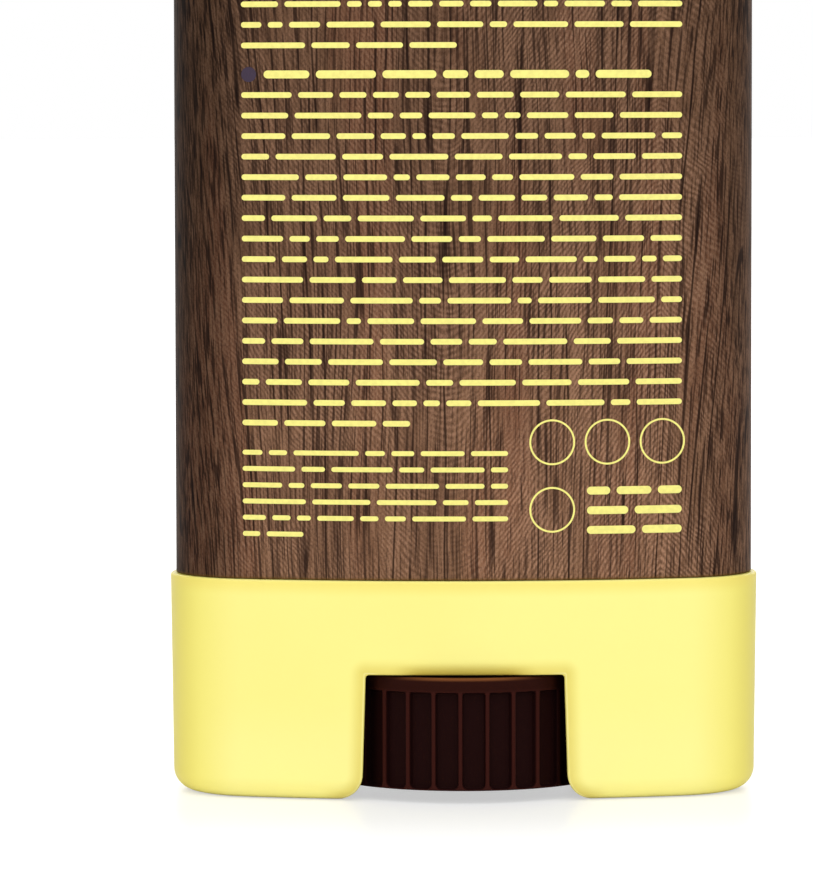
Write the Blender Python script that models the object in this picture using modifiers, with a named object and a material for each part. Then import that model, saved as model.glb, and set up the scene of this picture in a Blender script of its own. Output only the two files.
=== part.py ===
"""An oval twist-up sunscreen stick, in metres, +Z up.

The origin is under the middle of the base, on the surface that the stick stands on. +X runs along the
oval's width and -Y faces the front. Every moving piece turns or slides on the Z axis, so every object
keeps its own origin there. Turning the dial turns the spindle, which raises the elevator and the balm.
"""

import math

import bmesh
import bpy
from mathutils import Matrix

# Four-arc oval of the barrel's outer wall. Every other wall lies at an offset from it.
BARREL_HALF_WIDTH = 0.0156
BARREL_HALF_DEPTH = 0.0065
FRONT_ARC_RADIUS = 0.0440
FRONT_ARC_SEGMENTS = 8
END_ARC_SEGMENTS = 12

# Clearances and the overrun that carries a cutter past the face it opens.
FIT_CLEARANCE = 0.00015
SLIDE_CLEARANCE = 0.00025
SEAT_GAP = 0.0001
PIECE_GAP = 0.0003
OVERRUN = 0.0010
MERGE_DISTANCE = 0.00001
FILLET_STEPS = 4
EDGE_STEPS = 2

# Base: the collar that the stick stands on.
BASE_HEIGHT = 0.0119
BASE_RIM_OFFSET = 0.0003
BASE_FOOT_OFFSET = 0.00017
BASE_FOOT_RADIUS = 0.0012
BASE_RIM_ROUND = 0.00015
BASE_WALL = 0.00105
BASE_FLOOR = 0.0012
DECK_THICKNESS = 0.0010
DRUM_WALL = 0.0009
NOTCH_TOP = 0.0068
NOTCH_TOP_HALF_WIDTH = 0.0053
NOTCH_FOOT_HALF_WIDTH = 0.00546
NOTCH_CORNER_RADIUS = 0.0002
NOTCH_FLARE_RADIUS = 0.0015
RECESS_FLARE_RADIUS = 0.0005

# Dial: the ribbed thumbwheel. It bulges out of the notch, front and back.
DIAL_RADIUS = 0.0074
DIAL_FOOT_GAP = 0.00068
DIAL_RUNNING_GAP = 0.0003
DIAL_EDGE_ROUND = 0.00012
DIAL_BAND_HEIGHT = 0.0008
DIAL_WALL = 0.0012
DIAL_WEB_THICKNESS = 0.0012
DIAL_BOSS_RADIUS = 0.0028
DIAL_BOSS_RISE = 0.0008
DIAL_SPOKES = 6
DIAL_SPOKE_THICKNESS = 0.0008
DIAL_SPOKE_RISE = 0.0015
DIAL_STEPS = 64
RIB_COUNT = 32
RIB_WIDTH = 0.00027
RIB_TURN = math.radians(-1.35)
FLUTE_DEPTH = 0.00038
FLUTE_TOP_RADIUS = 0.00012
FLUTE_FOOT_RADIUS = 0.00028
FLUTE_FOOT_RISE = 0.0001

# Hub: the dial's neck, which snaps through the deck and holds the spindle's root.
HUB_RADIUS = 0.0026
HUB_LIP = 0.00055
HUB_LIP_CHAMFER = 0.0003
HUB_LIP_HEIGHT = 0.0009
ROUND_STEPS = 32

# Spindle: the screw rod on the axis.
SPINDLE_RADIUS = 0.0020
SPINDLE_ROOT_RADIUS = 0.0015
SPINDLE_ROOT_DEPTH = 0.0030
SPINDLE_COLLAR_RADIUS = 0.0024
SPINDLE_COLLAR_HEIGHT = 0.0005
SPINDLE_TIP_CHAMFER = 0.0005
SPINDLE_TIP_DEPTH = 0.0055

# Barrel: the tube, with a spigot into the base below and a neck for the cap above.
BARREL_LENGTH = 0.0488
BARREL_WALL = 0.0016
BARREL_EDGE_ROUND = 0.0002
SPIGOT_DECK_GAP = 0.0004
NECK_HEIGHT = 0.0060
NECK_INSET = 0.00085
NECK_BEAD = 0.0001
NECK_BEAD_HEIGHT = 0.0005
NECK_BEAD_RISE = 0.0030
NECK_EDGE_ROUND = 0.00025

# Elevator: the tray that carries the balm up the spindle.
ELEVATOR_STOP_GAP = 0.0005
ELEVATOR_PLATE = 0.0010
ELEVATOR_RIM_WALL = 0.0006
ELEVATOR_RIM_HEIGHT = 0.0022
ELEVATOR_BOSS_RADIUS = 0.0034
ELEVATOR_BOSS_BELOW = 0.0024
ELEVATOR_BOSS_ABOVE = 0.0042
THREAD_CLEARANCE = 0.0004

# Balm: the bar of product, with a shoulder left by the inner lid's plug and a crowned top.
BALM_BORE_CLEARANCE = 0.0006
BALM_SHOULDER_CHAMFER = 0.0004
BALM_DOME_START = 0.0008
BALM_DOME_RISE = 0.0038
DOME_POWER = 2.4
DOME_SHARES = (0.985, 0.94, 0.86, 0.74, 0.56, 0.3)
CROWN_SHARES = (0.9, 0.75, 0.55, 0.3)

# Inner lid: the thin dome that seals the balm's tip.
LID_WALL = 0.0007
LID_PLUG_DEPTH = 0.0020
LID_PLUG_WALL = 0.0006
LID_FLANGE_THICKNESS = 0.0006
LID_FLANGE_INSET = 0.0001
LID_SHELL_RISE = 0.0001

# Cap: the pull-off cover, flush with the base's outline.
CAP_HEIGHT = 0.0189
CAP_NECK_CLEARANCE = 0.0002
CAP_MOUTH_ROUND = 0.00015
CAP_EDGE_RADIUS = 0.0020
CAP_INNER_RADIUS = 0.0012
CAP_TOP_THICKNESS = 0.0015
CAP_CROWN_RISE = 0.0012

# Heights and radii that follow from the sizes above.
DIAL_TOP = NOTCH_TOP - SEAT_GAP
DECK_TOP = NOTCH_TOP + DECK_THICKNESS
RECESS_RADIUS = DIAL_RADIUS + DIAL_RUNNING_GAP
DRUM_RADIUS = RECESS_RADIUS + DRUM_WALL
SOCKET_OFFSET = BASE_RIM_OFFSET - BASE_WALL
BARREL_FOOT = BASE_HEIGHT + SEAT_GAP
BARREL_SHOULDER = BARREL_FOOT + BARREL_LENGTH
SPIGOT_FOOT = DECK_TOP + SPIGOT_DECK_GAP
BORE_OFFSET = -BARREL_WALL
MOUTH = BARREL_SHOULDER + NECK_HEIGHT
LIP_UNDERSIDE = DECK_TOP + FIT_CLEARANCE
HUB_TOP = LIP_UNDERSIDE + HUB_LIP_HEIGHT
COLLAR_FOOT = HUB_TOP + SEAT_GAP
COLLAR_TOP = COLLAR_FOOT + SPINDLE_COLLAR_HEIGHT
SPINDLE_TOP = MOUTH - SPINDLE_TIP_DEPTH
BOSS_FOOT = COLLAR_TOP + ELEVATOR_STOP_GAP
ELEVATOR_FOOT = BOSS_FOOT + ELEVATOR_BOSS_BELOW
ELEVATOR_TOP = ELEVATOR_FOOT + ELEVATOR_PLATE
ELEVATOR_OFFSET = BORE_OFFSET - SLIDE_CLEARANCE
BALM_FOOT = ELEVATOR_TOP + PIECE_GAP
PLUG_OFFSET = BORE_OFFSET - FIT_CLEARANCE
PLUG_FOOT = MOUTH - LID_PLUG_DEPTH
PLUG_INNER_OFFSET = PLUG_OFFSET - LID_PLUG_WALL
TIP_OFFSET = PLUG_INNER_OFFSET - PIECE_GAP
DOME_HEIGHT = MOUTH + BALM_DOME_START
CAP_FOOT = BARREL_SHOULDER + SEAT_GAP
CAP_TOP = CAP_FOOT + CAP_HEIGHT

YELLOW = (0.96, 0.87, 0.27)
WOOD_BROWN = (0.13, 0.075, 0.048)
DIAL_BROWN = (0.030, 0.012, 0.010)
BALM_WHITE = (0.88, 0.84, 0.72)
LID_NATURAL = (0.82, 0.82, 0.80)
SCREW_WHITE = (0.80, 0.79, 0.74)


def clear_scene():
    for item in list(bpy.data.objects):
        bpy.data.objects.remove(item, do_unlink=True)


def make_collection(name):
    collection = bpy.data.collections.new(name)
    bpy.context.scene.collection.children.link(collection)
    return collection


def plastic(name, colour, roughness):
    material = bpy.data.materials.new(name)
    material.use_nodes = True
    shader = material.node_tree.nodes["Principled BSDF"]
    shader.inputs["Base Color"].default_value = (*colour, 1.0)
    shader.inputs["Roughness"].default_value = roughness
    shader.inputs["Metallic"].default_value = 0.0
    return material


def add_object(name, mesh, collection, material=None):
    item = bpy.data.objects.new(name, mesh)
    collection.objects.link(item)
    if material is None:
        item.hide_render = True
        item.display_type = "WIRE"
    else:
        mesh.materials.append(material)
    return item


def finish_mesh(name, bm):
    bmesh.ops.recalc_face_normals(bm, faces=bm.faces)
    mesh = bpy.data.meshes.new(name)
    bm.to_mesh(mesh)
    bm.free()
    return mesh


def smooth(item, angle=math.radians(35)):
    item.data.shade_smooth()
    item.data.set_sharp_from_angle(angle=angle)


def arc_points(centre, radius, start, end, steps):
    """Points on an arc, in degrees, both ends included."""
    turns = [math.radians(start + (end - start) * i / steps) for i in range(steps + 1)]
    return [(centre[0] + radius * math.cos(t), centre[1] + radius * math.sin(t)) for t in turns]


def oval_ring(offset, share=1.0):
    """The oval that lies offset outside the barrel's wall, drawn in towards the axis by share.

    It has a wide arc front and back and a tight arc at each end, meeting on a common tangent.
    """
    arc_centre = FRONT_ARC_RADIUS - BARREL_HALF_DEPTH
    end_radius = (FRONT_ARC_RADIUS**2 - BARREL_HALF_WIDTH**2 - arc_centre**2) / (
        2 * (FRONT_ARC_RADIUS - BARREL_HALF_WIDTH))
    end_centre = BARREL_HALF_WIDTH - end_radius
    lean = math.degrees(math.atan2(end_centre, arc_centre))
    front = FRONT_ARC_RADIUS + offset
    end = end_radius + offset
    quarter = 90
    arcs = (
        ((end_centre, 0), end, lean - quarter, quarter - lean, END_ARC_SEGMENTS),
        ((0, -arc_centre), front, quarter - lean, quarter + lean, FRONT_ARC_SEGMENTS),
        ((-end_centre, 0), end, quarter + lean, 3 * quarter - lean, END_ARC_SEGMENTS),
        ((0, arc_centre), front, 3 * quarter - lean, 3 * quarter + lean, FRONT_ARC_SEGMENTS),
    )
    ring = []
    for arc in arcs:
        ring += arc_points(*arc)[:-1]
    return [(share * x, share * y) for x, y in ring]


def wall(*pairs):
    """Stations of an oval wall: an offset from the barrel's oval, a height and a full share."""
    return [(offset, height, 1.0) for offset, height in pairs]


def fillet(offset, height, radius, start, end):
    """Stations round an arc whose centre lies at an offset and a height."""
    return wall(*arc_points((offset, height), radius, start, end, FILLET_STEPS))


def crown(offset, height, rise):
    """Stations of a shallow dome: a parabola over the oval, from its edge towards the axis."""
    return [(offset, height + rise * (1 - share**2), share) for share in CROWN_SHARES]


def dome(offset, height, rise):
    """Stations of a full dome: upright at the oval's edge and flat at the axis."""
    stations = [(offset, height, 1.0)]
    for share in DOME_SHARES:
        stations.append((offset, height + rise * (1 - share**DOME_POWER) ** (1 / DOME_POWER), share))
    return stations


def oval_mesh(name, stations, looped=False):
    """A loft through ovals of unlike size. A looped one is a tube, any other is closed by two caps."""
    bm = bmesh.new()
    rings = []
    for offset, height, share in stations:
        rings.append([bm.verts.new((x, y, height)) for x, y in oval_ring(offset, share)])
    following = rings[1:] + rings[:1] if looped else rings[1:]
    for ring, above in zip(rings, following):
        for i in range(len(ring)):
            bm.faces.new((ring[i - 1], ring[i], above[i], above[i - 1]))
    if not looped:
        bm.faces.new(rings[0])
        bm.faces.new(rings[-1])
    return finish_mesh(name, bm)


def turned(name, profile, steps, collection, material=None):
    """A solid of revolution: a profile from the axis, down its outer side, back to the axis."""
    mesh = bpy.data.meshes.new(name)
    points = [(radius, 0, height) for radius, height in profile]
    mesh.from_pydata(points, [(i, i + 1) for i in range(len(points) - 1)], [])
    item = add_object(name, mesh, collection, material)
    screw = item.modifiers.new("turn", "SCREW")
    screw.axis = "Z"
    screw.angle = math.tau
    screw.steps = steps
    screw.render_steps = steps
    screw.use_merge_vertices = True
    screw.merge_threshold = MERGE_DISTANCE
    screw.use_smooth_shade = True
    return item


def plug(radius, low, high):
    """The profile of a plain cylinder."""
    return [(0, high), (radius, high), (radius, low), (0, low)]


def prism(bm, outline, depth_low, depth_high):
    """An outline in X and Z, carried along Y from one depth to the other, added to bm."""
    face = bm.faces.new([bm.verts.new((x, depth_low, z)) for x, z in outline])
    carried = bmesh.ops.extrude_face_region(bm, geom=[face])["geom"]
    new_verts = [item for item in carried if isinstance(item, bmesh.types.BMVert)]
    bmesh.ops.translate(bm, verts=new_verts, vec=(0, depth_high - depth_low, 0))
    return list(face.verts) + new_verts


def combine(item, other, operation):
    boolean = item.modifiers.new(other.name, "BOOLEAN")
    boolean.operation = operation
    boolean.solver = "EXACT"
    boolean.object = other


def make_notch_cutter(cutters):
    """The front and back notch: a drafted slot with rounded top corners and flared feet."""
    corner = NOTCH_TOP - NOTCH_CORNER_RADIUS
    right = arc_points((NOTCH_TOP_HALF_WIDTH - NOTCH_CORNER_RADIUS, corner), NOTCH_CORNER_RADIUS,
                       90, 0, FILLET_STEPS)
    right += arc_points((NOTCH_FOOT_HALF_WIDTH + NOTCH_FLARE_RADIUS, NOTCH_FLARE_RADIUS),
                        NOTCH_FLARE_RADIUS, 180, 270, 2 * FILLET_STEPS)
    right.append((NOTCH_FOOT_HALF_WIDTH + NOTCH_FLARE_RADIUS, -OVERRUN))
    outline = right + [(-x, z) for x, z in reversed(right)]
    reach = BARREL_HALF_DEPTH + BASE_RIM_OFFSET + OVERRUN
    bm = bmesh.new()
    prism(bm, outline, -reach, reach)
    return add_object("notch_cutter", finish_mesh("notch_cutter", bm), cutters)


def make_recess_cutter(cutters):
    """The round recess that the dial turns in, with the hub's hole through the deck above it."""
    hole = HUB_RADIUS + DIAL_RUNNING_GAP
    flare = arc_points((RECESS_RADIUS + RECESS_FLARE_RADIUS, RECESS_FLARE_RADIUS), RECESS_FLARE_RADIUS,
                       180, 270, FILLET_STEPS)
    profile = [(0, DECK_TOP + OVERRUN), (hole, DECK_TOP + OVERRUN), (hole, NOTCH_TOP)]
    profile += [(RECESS_RADIUS, NOTCH_TOP)] + flare
    profile += [(RECESS_RADIUS + RECESS_FLARE_RADIUS, -OVERRUN), (0, -OVERRUN)]
    return turned("recess_cutter", profile, DIAL_STEPS, cutters)


def make_pocket_cutter(cutters):
    """The socket for the barrel's spigot, and below the deck a pocket in each lobe of the base."""
    stations = wall((SOCKET_OFFSET, BASE_FLOOR), (SOCKET_OFFSET, BASE_HEIGHT + OVERRUN))
    pocket = add_object("pocket_cutter", oval_mesh("pocket_cutter", stations), cutters)
    drum = turned("drum", plug(DRUM_RADIUS, -OVERRUN, DECK_TOP), DIAL_STEPS, cutters)
    combine(pocket, drum, "DIFFERENCE")
    return pocket


def make_base(collection, cutters, material):
    foot = fillet(BASE_FOOT_OFFSET - BASE_FOOT_RADIUS, BASE_FOOT_RADIUS, BASE_FOOT_RADIUS, -90, 0)
    rim = fillet(BASE_RIM_OFFSET - BASE_RIM_ROUND, BASE_HEIGHT - BASE_RIM_ROUND, BASE_RIM_ROUND, 0, 90)
    base = add_object("base", oval_mesh("base", foot + rim), collection, material)
    combine(base, make_pocket_cutter(cutters), "DIFFERENCE")
    combine(base, make_recess_cutter(cutters), "DIFFERENCE")
    combine(base, make_notch_cutter(cutters), "DIFFERENCE")
    smooth(base)
    return base


def make_barrel(collection, material):
    """A tube: its spigot plugs into the base, its shoulder lies on the rim, its neck takes the cap."""
    spigot = SOCKET_OFFSET - FIT_CLEARANCE
    neck = -NECK_INSET
    bead = BARREL_SHOULDER + NECK_BEAD_RISE
    outside = wall((spigot - BARREL_EDGE_ROUND, SPIGOT_FOOT), (spigot, SPIGOT_FOOT + BARREL_EDGE_ROUND),
                   (spigot, BARREL_FOOT))
    outside += wall((-BARREL_EDGE_ROUND, BARREL_FOOT), (0, BARREL_FOOT + BARREL_EDGE_ROUND))
    outside += fillet(-BARREL_EDGE_ROUND, BARREL_SHOULDER - BARREL_EDGE_ROUND, BARREL_EDGE_ROUND, 0, 90)
    outside += wall((neck, BARREL_SHOULDER), (neck, bead - NECK_BEAD_HEIGHT), (neck + NECK_BEAD, bead),
                    (neck, bead + NECK_BEAD_HEIGHT), (neck, MOUTH - NECK_EDGE_ROUND),
                    (neck - NECK_EDGE_ROUND, MOUTH))
    bore = wall((BORE_OFFSET, MOUTH), (BORE_OFFSET, SPIGOT_FOOT))
    barrel = add_object("barrel", oval_mesh("barrel", outside + bore, looped=True), collection, material)
    smooth(barrel)
    return barrel


def make_flute_cutter(cutters):
    """One flat-floored panel between each pair of ribs, rounded at its lower corners."""
    half = DIAL_RADIUS * math.sin(math.pi / RIB_COUNT) - RIB_WIDTH / 2
    top = DIAL_TOP - DIAL_BAND_HEIGHT
    foot = DIAL_FOOT_GAP + FLUTE_FOOT_RISE
    right = arc_points((half - FLUTE_TOP_RADIUS, top - FLUTE_TOP_RADIUS), FLUTE_TOP_RADIUS, 90, 0, EDGE_STEPS)
    right += arc_points((half - FLUTE_FOOT_RADIUS, foot + FLUTE_FOOT_RADIUS), FLUTE_FOOT_RADIUS,
                        0, -90, FILLET_STEPS)
    outline = right + [(-x, z) for x, z in reversed(right)]
    bm = bmesh.new()
    for i in range(RIB_COUNT):
        verts = prism(bm, outline, -DIAL_RADIUS - OVERRUN, FLUTE_DEPTH - DIAL_RADIUS)
        turn = RIB_TURN + math.tau * (i + 0.5) / RIB_COUNT
        bmesh.ops.rotate(bm, verts=verts, cent=(0, 0, 0), matrix=Matrix.Rotation(turn, 3, "Z"))
    return add_object("flute_cutter", finish_mesh("flute_cutter", bm), cutters)


def make_spokes(cutters):
    """The webs that stiffen the dial's hollow underside, in one object of crossing bars."""
    reach = DIAL_RADIUS - DIAL_WALL / 2
    low = DIAL_FOOT_GAP + DIAL_SPOKE_RISE
    high = DIAL_TOP - DIAL_WEB_THICKNESS / 2
    half = DIAL_SPOKE_THICKNESS / 2
    outline = [(-half, low), (half, low), (half, high), (-half, high)]
    bm = bmesh.new()
    for i in range(DIAL_SPOKES):
        verts = prism(bm, outline, DIAL_BOSS_RADIUS - half, reach)
        turn = math.tau * i / DIAL_SPOKES
        bmesh.ops.rotate(bm, verts=verts, cent=(0, 0, 0), matrix=Matrix.Rotation(turn, 3, "Z"))
    return add_object("spokes", finish_mesh("spokes", bm), cutters)


def make_dial(collection, cutters, material):
    """A hollow ribbed wheel under a snap hub. A plain band runs round it above the ribs."""
    bore = SPINDLE_ROOT_RADIUS + PIECE_GAP
    bore_floor = HUB_TOP - SPINDLE_ROOT_DEPTH - PIECE_GAP
    lip = HUB_RADIUS + HUB_LIP
    inner = DIAL_RADIUS - DIAL_WALL
    web = DIAL_TOP - DIAL_WEB_THICKNESS
    edge = DIAL_RADIUS - DIAL_EDGE_ROUND
    profile = [(0, bore_floor), (bore, bore_floor), (bore, HUB_TOP), (lip - HUB_LIP_CHAMFER, HUB_TOP),
               (lip, HUB_TOP - HUB_LIP_CHAMFER), (lip, LIP_UNDERSIDE), (HUB_RADIUS, LIP_UNDERSIDE),
               (HUB_RADIUS, DIAL_TOP)]
    profile += arc_points((edge, DIAL_TOP - DIAL_EDGE_ROUND), DIAL_EDGE_ROUND, 90, 0, EDGE_STEPS)
    profile += arc_points((edge, DIAL_FOOT_GAP + DIAL_EDGE_ROUND), DIAL_EDGE_ROUND, 0, -90, EDGE_STEPS)
    profile += [(inner, DIAL_FOOT_GAP), (inner, web), (DIAL_BOSS_RADIUS, web),
                (DIAL_BOSS_RADIUS, DIAL_FOOT_GAP + DIAL_BOSS_RISE), (0, DIAL_FOOT_GAP + DIAL_BOSS_RISE)]
    dial = turned("dial", profile, DIAL_STEPS, collection, material)
    combine(dial, make_spokes(cutters), "UNION")
    combine(dial, make_flute_cutter(cutters), "DIFFERENCE")
    return dial


def make_spindle(collection, material):
    """The rod that the elevator climbs, with its root in the hub and a collar on the hub's top."""
    root = HUB_TOP - SPINDLE_ROOT_DEPTH
    profile = [(0, SPINDLE_TOP), (SPINDLE_RADIUS - SPINDLE_TIP_CHAMFER, SPINDLE_TOP),
               (SPINDLE_RADIUS, SPINDLE_TOP - SPINDLE_TIP_CHAMFER), (SPINDLE_RADIUS, COLLAR_TOP),
               (SPINDLE_COLLAR_RADIUS, COLLAR_TOP), (SPINDLE_COLLAR_RADIUS, COLLAR_FOOT),
               (SPINDLE_ROOT_RADIUS, COLLAR_FOOT), (SPINDLE_ROOT_RADIUS, root), (0, root)]
    return turned("spindle", profile, ROUND_STEPS, collection, material)


def make_elevator(collection, cutters, material):
    """An oval tray with a low rim, on a boss that rides the spindle."""
    inner = ELEVATOR_OFFSET - ELEVATOR_RIM_WALL
    rim_top = ELEVATOR_TOP + ELEVATOR_RIM_HEIGHT
    stations = wall((ELEVATOR_OFFSET, ELEVATOR_FOOT), (ELEVATOR_OFFSET, rim_top), (inner, rim_top),
                    (inner, ELEVATOR_TOP))
    elevator = add_object("elevator", oval_mesh("elevator", stations), collection, material)
    boss_top = ELEVATOR_TOP + ELEVATOR_BOSS_ABOVE
    boss = turned("boss", plug(ELEVATOR_BOSS_RADIUS, BOSS_FOOT, boss_top), ROUND_STEPS, cutters)
    bore = plug(SPINDLE_RADIUS + THREAD_CLEARANCE, BOSS_FOOT - OVERRUN, boss_top + OVERRUN)
    thread = turned("thread_cutter", bore, ROUND_STEPS, cutters)
    combine(elevator, boss, "UNION")
    combine(elevator, thread, "DIFFERENCE")
    smooth(elevator)
    return elevator


def make_balm(collection, cutters, material):
    """The bar, cast over the elevator's rim and boss and under the inner lid."""
    in_tray = ELEVATOR_OFFSET - ELEVATOR_RIM_WALL - PIECE_GAP
    tray_top = ELEVATOR_TOP + ELEVATOR_RIM_HEIGHT + PIECE_GAP
    shoulder = PLUG_FOOT - PIECE_GAP
    stations = wall((in_tray, BALM_FOOT), (in_tray, tray_top), (ELEVATOR_OFFSET, tray_top),
                    (ELEVATOR_OFFSET, shoulder - BALM_SHOULDER_CHAMFER), (TIP_OFFSET, shoulder))
    stations += dome(TIP_OFFSET, DOME_HEIGHT, BALM_DOME_RISE)
    balm = add_object("balm", oval_mesh("balm", stations), collection, material)
    bore = SPINDLE_RADIUS + BALM_BORE_CLEARANCE
    bore_top = SPINDLE_TOP + BALM_BORE_CLEARANCE
    boss = ELEVATOR_BOSS_RADIUS + PIECE_GAP
    boss_top = ELEVATOR_TOP + ELEVATOR_BOSS_ABOVE + PIECE_GAP
    profile = [(0, bore_top), (bore, bore_top), (bore, boss_top), (boss, boss_top),
               (boss, BALM_FOOT - OVERRUN), (0, BALM_FOOT - OVERRUN)]
    combine(balm, turned("balm_core", profile, ROUND_STEPS, cutters), "DIFFERENCE")
    smooth(balm)
    return balm


def make_seal_lid(collection, material):
    """A thin dome: its plug fits the barrel's mouth and its flange lies on the neck."""
    flange = MOUTH + SEAT_GAP
    flange_offset = -NECK_INSET - LID_FLANGE_INSET
    flange_top = flange + LID_FLANGE_THICKNESS
    shell = PLUG_INNER_OFFSET + LID_WALL
    inside = list(reversed(dome(PLUG_INNER_OFFSET, DOME_HEIGHT, BALM_DOME_RISE + PIECE_GAP)))
    inside += wall((PLUG_INNER_OFFSET, PLUG_FOOT))
    outside = wall((PLUG_OFFSET, PLUG_FOOT), (PLUG_OFFSET, flange), (flange_offset, flange),
                   (flange_offset, flange_top), (shell, flange_top))
    outside += dome(shell, flange_top + LID_SHELL_RISE, BALM_DOME_RISE + PIECE_GAP + LID_WALL)
    lid = add_object("seal_lid", oval_mesh("seal_lid", inside + outside), collection, material)
    smooth(lid)
    return lid


def make_cap(collection, material):
    """The outer cap: a thin oval shell with a rounded edge and a crowned top."""
    inner = CAP_NECK_CLEARANCE - NECK_INSET
    outer = BASE_RIM_OFFSET
    ceiling = CAP_TOP - CAP_TOP_THICKNESS - CAP_CROWN_RISE
    inner_centre = (inner - CAP_INNER_RADIUS, ceiling - CAP_INNER_RADIUS)
    edge_top = CAP_TOP - CAP_CROWN_RISE
    inside = list(reversed(crown(inner_centre[0], ceiling, CAP_CROWN_RISE)))
    inside += fillet(*inner_centre, CAP_INNER_RADIUS, 90, 0) + wall((inner, CAP_FOOT))
    outside = wall((outer - CAP_MOUTH_ROUND, CAP_FOOT), (outer, CAP_FOOT + CAP_MOUTH_ROUND))
    outside += fillet(outer - CAP_EDGE_RADIUS, edge_top - CAP_EDGE_RADIUS, CAP_EDGE_RADIUS, 0, 90)
    outside += crown(outer - CAP_EDGE_RADIUS, edge_top, CAP_CROWN_RISE)
    cap = add_object("cap", oval_mesh("cap", inside + outside), collection, material)
    smooth(cap)
    return cap


def add_frame(name, children, collection):
    """An empty on the Z axis that carries the pieces which move together."""
    frame = bpy.data.objects.new(name, None)
    collection.objects.link(frame)
    for child in children:
        child.parent = frame
    return frame


def main():
    clear_scene()
    stick = make_collection("sunscreen_stick")
    cutters = make_collection("cutters")
    yellow = plastic("yellow_plastic", YELLOW, 0.35)
    screw_white = plastic("screw_plastic", SCREW_WHITE, 0.40)
    base = make_base(stick, cutters, yellow)
    barrel = make_barrel(stick, plastic("wood_look_plastic", WOOD_BROWN, 0.45))
    dial = make_dial(stick, cutters, plastic("dial_plastic", DIAL_BROWN, 0.38))
    spindle = make_spindle(stick, screw_white)
    elevator = make_elevator(stick, cutters, screw_white)
    balm = make_balm(stick, cutters, plastic("balm", BALM_WHITE, 0.55))
    lid = make_seal_lid(stick, plastic("lid_plastic", LID_NATURAL, 0.30))
    cap = make_cap(stick, yellow)
    add_frame("housing_frame", (base, barrel), stick)
    add_frame("knob_frame", (dial, spindle), stick)
    add_frame("carriage_frame", (elevator, balm), stick)
    add_frame("lid_frame", (lid,), stick)
    add_frame("cap_frame", (cap,), stick)


main()
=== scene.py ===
"""The looks of an oval twist-up sunscreen stick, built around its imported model.

+Z is up, +X runs along the oval's width and -Y faces the front. Shapes are worked out in millimetres as
whole numpy arrays, each a function of two parameters, and turned into metres when a mesh is made.
"""

import math

import bpy
import numpy as np
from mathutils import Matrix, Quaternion, Vector


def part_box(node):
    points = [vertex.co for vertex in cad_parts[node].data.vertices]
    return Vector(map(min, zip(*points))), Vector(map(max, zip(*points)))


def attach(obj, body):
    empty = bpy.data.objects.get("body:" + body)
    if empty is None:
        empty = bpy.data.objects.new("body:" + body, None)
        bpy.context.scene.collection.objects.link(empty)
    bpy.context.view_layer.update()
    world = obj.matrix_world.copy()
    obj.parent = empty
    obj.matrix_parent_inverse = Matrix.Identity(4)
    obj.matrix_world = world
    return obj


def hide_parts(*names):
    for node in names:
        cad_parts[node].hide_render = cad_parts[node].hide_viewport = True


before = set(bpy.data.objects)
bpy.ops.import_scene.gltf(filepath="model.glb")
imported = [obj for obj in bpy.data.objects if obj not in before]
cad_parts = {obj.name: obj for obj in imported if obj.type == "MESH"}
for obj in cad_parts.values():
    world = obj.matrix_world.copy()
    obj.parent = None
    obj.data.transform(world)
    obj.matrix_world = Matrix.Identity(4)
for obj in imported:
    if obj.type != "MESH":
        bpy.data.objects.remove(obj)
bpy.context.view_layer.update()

MM = 0.001

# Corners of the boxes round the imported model's nodes, in millimetres.
BASE_HIGH = np.array(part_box("base")[1]) / MM
BARREL_LOW, BARREL_HIGH = np.array(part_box("barrel")) / MM
DIAL_LOW, DIAL_HIGH = np.array(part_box("dial")) / MM
SPINDLE_LOW, SPINDLE_HIGH = np.array(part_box("spindle")) / MM
ELEVATOR_LOW, ELEVATOR_HIGH = np.array(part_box("elevator")) / MM
BALM_LOW, BALM_HIGH = np.array(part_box("balm")) / MM
LID_LOW, LID_HIGH = np.array(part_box("seal_lid")) / MM
CAP_LOW, CAP_HIGH = np.array(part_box("cap")) / MM

# The oval of the barrel's outer wall: a wide arc front and back, a tight arc at each end.
HALF_WIDTH = 15.6
HALF_DEPTH = 6.5
FRONT_RADIUS = 44.0
FRONT_COLUMNS = 84
END_COLUMNS = 64

# For several pieces: small edges, how far a cutter passes what it cuts, and the columns round a rod. A skin
# that ends in fans has the innermost radius before them.
CHAMFER = 0.1
OVERRUN = 1.0
ROD_COLUMNS = 96
INNERMOST = 0.3
NO_FANS = np.zeros((0, 3), int)

# The base: its walls' offsets from the barrel's, its floor and deck, its openings and its edges.
RIM = BASE_HIGH[2] - 0.08
RIM_OFFSET = 0.3
FOOT_OFFSET = 0.17
FOOT_RADIUS = 1.2
RIM_ROUND = 0.15
SOCKET_OFFSET = RIM_OFFSET - 1.05
BASE_FLOOR = 1.2
DECK = 7.8
DRUM_RADIUS = 8.6
RECESS_RADIUS = 7.7
HUB_HOLE = 2.9
NOTCH_TOP = 6.8
NOTCH_TOP_HALF = 5.3
NOTCH_FOOT_HALF = 5.46
NOTCH_CORNER = 0.2
NOTCH_FLARE = 1.5
NOTCH_DRAFT = 0.03
RECESS_FLARE = 0.5
EDGE_BEVEL = 0.09
BASE_ROW_STEP = 0.73
BASE_FRONT_COLUMNS = 20
RECESS_COLUMNS = 52
DRUM_COLUMNS = 192

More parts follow.
